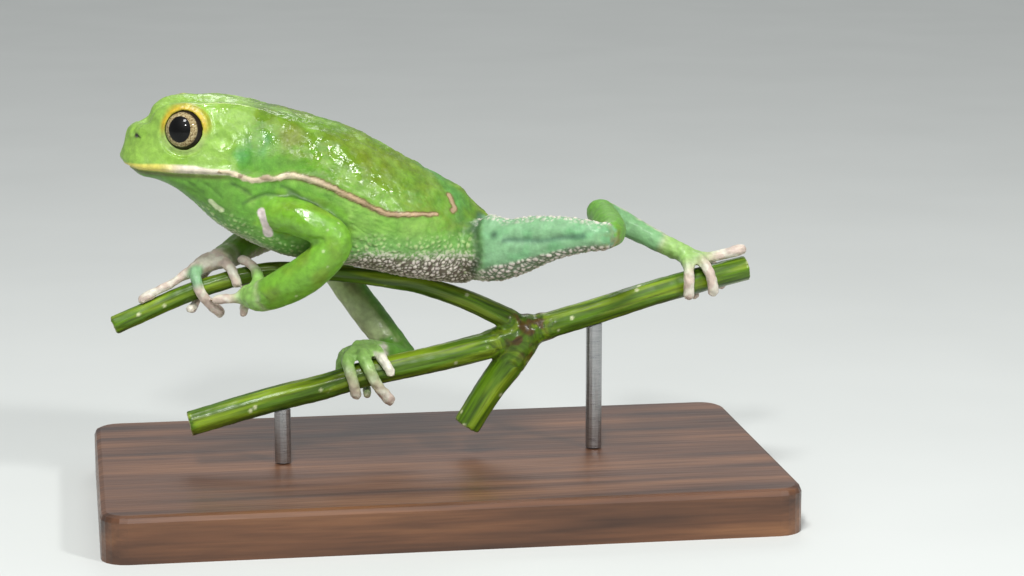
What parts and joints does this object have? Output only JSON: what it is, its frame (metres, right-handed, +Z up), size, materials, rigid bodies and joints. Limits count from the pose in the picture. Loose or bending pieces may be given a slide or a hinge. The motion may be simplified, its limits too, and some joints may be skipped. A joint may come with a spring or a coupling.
{
  "type": "waxy monkey tree frog display model",
  "caption": "Life-size still model of a green leaf frog climbing along forked plant stems, one hind leg stretched back, on a flat wooden base with two rods.",
  "frame": {"origin": "middle of the stand base's underside", "axes": "+Z up, the frog faces -X, its left side is -Y"},
  "size_m": [0.132, 0.074, 0.0807],
  "materials": {
    "skin": "moist satin green with paler dots, white-edged lip and flank stripe",
    "pale_skin": "satin pinkish grey, greenish on the backs of hands and feet",
    "eye": "high gloss, black upright pupil in a silvery beige iris",
    "stem": "glossy fresh olive green with fine lengthwise grooves",
    "base_wood": "satin varnish",
    "rod_steel": "brushed"
  },
  "bodies": {
    "root": {"head": "skin", "lower_jaw": "skin", "torso": "skin", "eye_left": "eye", "eye_right": "eye", "upper_arm_left": "skin", "upper_arm_right": "skin", "forearm_left": "skin", "forearm_right": "skin", "hand_left": "pale_skin", "hand_right": "pale_skin", "thigh_left": "skin", "thigh_right": "skin", "shank_left": "skin", "shank_right": "skin", "tarsus_left": "skin", "tarsus_right": "skin", "foot_left": "pale_skin", "foot_right": "pale_skin", "perch_upper_stem": "stem", "perch_lower_branch": "stem", "perch_right_branch": "stem", "perch_leaf_stalk": "stem", "perch_fork": "stem", "stand_base": "base_wood", "stand_rod_front": "rod_steel", "stand_rod_rear": "rod_steel"}
  },
  "joints": []
}
